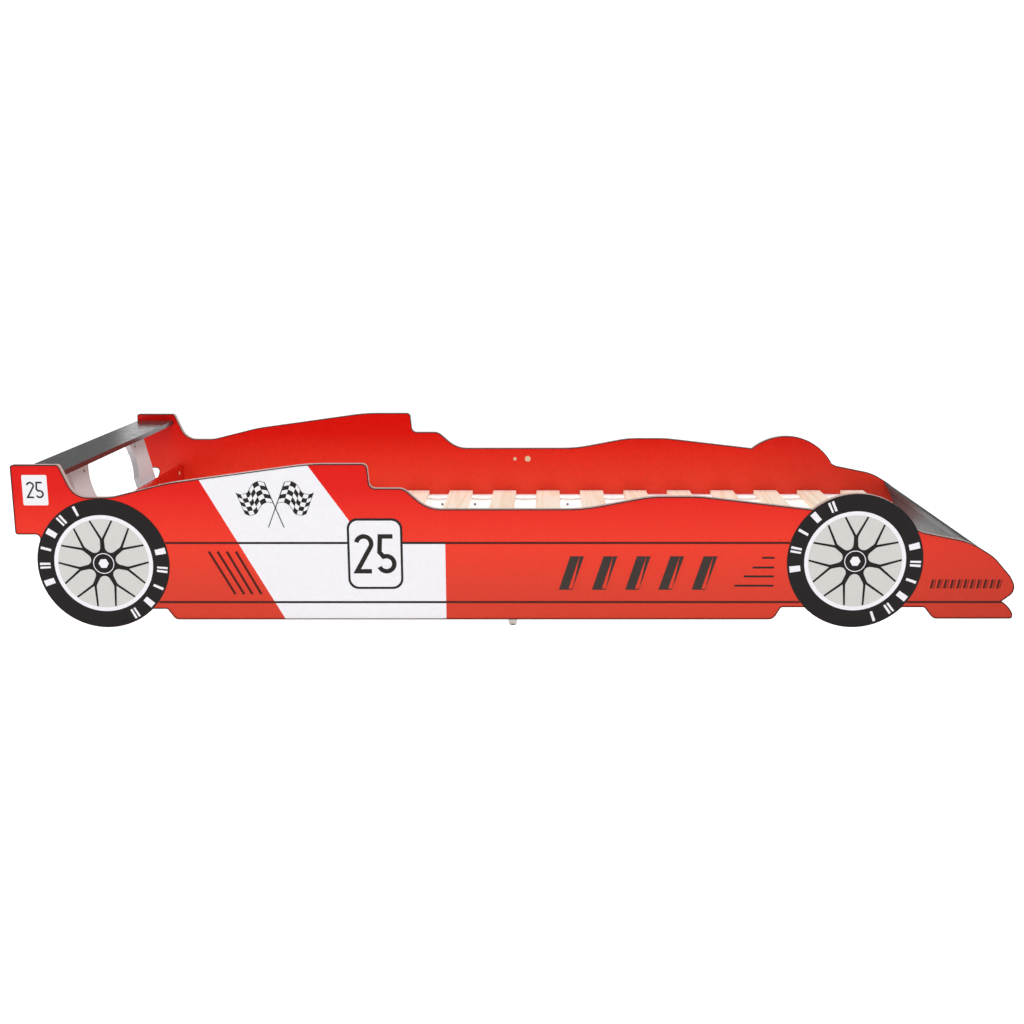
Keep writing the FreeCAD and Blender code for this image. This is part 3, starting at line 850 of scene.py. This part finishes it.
def slat_webbing(side_name):
    """Tape stapled under the slats, sagging a little in each gap."""
    node = side_name + "_slat_tape"
    low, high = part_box(node)
    first_low, first_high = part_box("slat_01")
    second_low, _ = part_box("slat_02")
    pitch = second_low.x - first_low.x
    width = first_high.x - first_low.x
    sag, thick = 0.0022, high.z - low.z
    mesh = bmesh.new()
    rows = []
    steps = int(round((high.x - low.x) / 0.006))
    for i in range(steps + 1):
        x = low.x + (high.x - low.x) * i / steps
        into_gap = ((x - first_low.x) % pitch - width) / (pitch - width)
        dip = sag * math.sin(math.pi * into_gap) ** 2 if into_gap > 0 else 0.0
        row = []
        for j in range(5):
            y = low.y + (high.y - low.y) * j / 4
            row.append(mesh.verts.new((x, y, high.z - thick - dip)))
        for j in range(4, -1, -1):
            y = low.y + (high.y - low.y) * j / 4
            row.append(mesh.verts.new((x, y, high.z - dip - 0.00005)))
        rows.append(row)
    for a, b in zip(rows, rows[1:]):
        for j in range(10):
            k = (j + 1) % 10
            mesh.faces.new((a[j], a[k], b[k], b[j]))
    mesh.faces.new(rows[0][::-1])
    mesh.faces.new(rows[-1])
    bmesh.ops.recalc_face_normals(mesh, faces=mesh.faces)
    data = bpy.data.meshes.new(side_name + "_slat_webbing")
    mesh.to_mesh(data)
    mesh.free()
    data.materials.append(webbing)
    piece = bpy.data.objects.new(side_name + "_slat_webbing", data)
    bpy.context.scene.collection.objects.link(piece)
    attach(piece, "slat_mat")
    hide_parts(node)
    return piece


# ---------------------------------------------------------------- studio

def studio():
    """White floor, white surround and large soft lights."""
    floor_mesh = bpy.data.meshes.new("studio_floor")
    reach = 60.0
    corners = [(-reach, -reach, 0), (reach, -reach, 0), (reach, reach, 0), (-reach, reach, 0)]
    floor_mesh.from_pydata([(x, y, -0.0005) for x, y, z in corners], [], [(0, 1, 2, 3)])
    floor = bpy.data.objects.new("studio_floor", floor_mesh)
    bpy.context.scene.collection.objects.link(floor)
    graph = Graph("studio_white")
    graph.set(Base_Color=(0.55, 0.55, 0.55, 1.0), Roughness=0.9, Specular_IOR_Level=0.0)
    graph.set(Emission_Color=(1.0, 1.0, 1.0, 1.0), Emission_Strength=0.97)
    floor_mesh.materials.append(graph.material)

    world = bpy.data.worlds.new("studio")
    bpy.context.scene.world = world
    world.use_nodes = True
    tree = world.node_tree
    surround = tree.nodes["Background"]
    surround.inputs["Color"].default_value = (1.0, 1.0, 1.0, 1.0)
    surround.inputs["Strength"].default_value = 0.24
    seen = tree.nodes.new("ShaderNodeBackground")
    seen.inputs["Color"].default_value = (1.0, 1.0, 1.0, 1.0)
    seen.inputs["Strength"].default_value = 1.05
    ray = tree.nodes.new("ShaderNodeLightPath")
    choose = tree.nodes.new("ShaderNodeMixShader")
    tree.links.new(ray.outputs["Is Camera Ray"], choose.inputs[0])
    tree.links.new(surround.outputs[0], choose.inputs[1])
    tree.links.new(seen.outputs[0], choose.inputs[2])
    tree.links.new(choose.outputs[0], tree.nodes["World Output"].inputs["Surface"])

    def softbox(name, at, towards, width, height, watts):
        light = bpy.data.lights.new(name, "AREA")
        light.shape = "RECTANGLE"
        light.size = width
        light.size_y = height
        light.energy = watts
        lamp = bpy.data.objects.new(name, light)
        lamp.location = at
        lamp.rotation_euler = (Vector(towards) - Vector(at)).to_track_quat("-Z", "Y").to_euler()
        lamp.visible_camera = False
        bpy.context.scene.collection.objects.link(lamp)

    softbox("overhead", (0.0, 0.3, 2.8), (0.0, 0.0, 0.2), 4.4, 2.0, 58.0)
    softbox("front_high", (0.0, -2.4, 3.2), (0.0, 0.0, 0.2), 4.2, 1.4, 38.0)
    softbox("rear_side", (-3.4, -1.7, 1.7), (-0.4, 0.0, 0.2), 1.8, 1.6, 12.0)
    softbox("front_side", (3.4, -1.7, 1.7), (0.4, 0.0, 0.2), 1.8, 1.6, 5.0)
    softbox("backdrop_strip", (-2.40, 6.0, 1.15), (-1.08, 0.2, 0.38), 1.2, 0.9, 3.8)


def camera():
    """Eye level a little above the bed, square to its right side."""
    pitch, yaw, roll = math.radians(11.95), math.radians(-0.17), math.radians(-0.05)
    ahead = math.cos(pitch)
    forward = Vector((math.sin(yaw) * ahead, math.cos(yaw) * ahead, -math.sin(pitch)))
    level = Vector((math.cos(yaw), -math.sin(yaw), 0.0))
    upward = level.cross(forward)
    right = level * math.cos(roll) + upward * math.sin(roll)
    upward = upward * math.cos(roll) - level * math.sin(roll)
    data = bpy.data.cameras.new("camera")
    data.sensor_width = 36.0
    data.lens = 45.98
    data.shift_x = -0.0350
    data.shift_y = 0.0131
    eye = bpy.data.objects.new("camera", data)
    eye.matrix_world = Matrix.Translation((0.0805, -3.3903, 0.8585)) @ Matrix(
        (right, upward, -forward)).transposed().to_4x4()
    bpy.context.scene.collection.objects.link(eye)
    bpy.context.scene.camera = eye
    bpy.context.scene.view_settings.view_transform = "Standard"


# ---------------------------------------------------------------- assembly

camera()
studio()
dress_nodes()
white_flash()
stripes()
slashes()
number_box()
flags()
side_marks()
wheel("rear_wheel", REAR_WHEEL, 1.0, 0.3, ((199, 114.5, 6), (12, -61, 5)))
wheel("front_wheel", FRONT_WHEEL, 1.03, 0.3, ((187.5, 114, 5), (14.5, -70.5, 6)))
contour_lines()
for side_name in SIDES:
    slat_webbing(side_name)

bpy.context.view_layer.update()
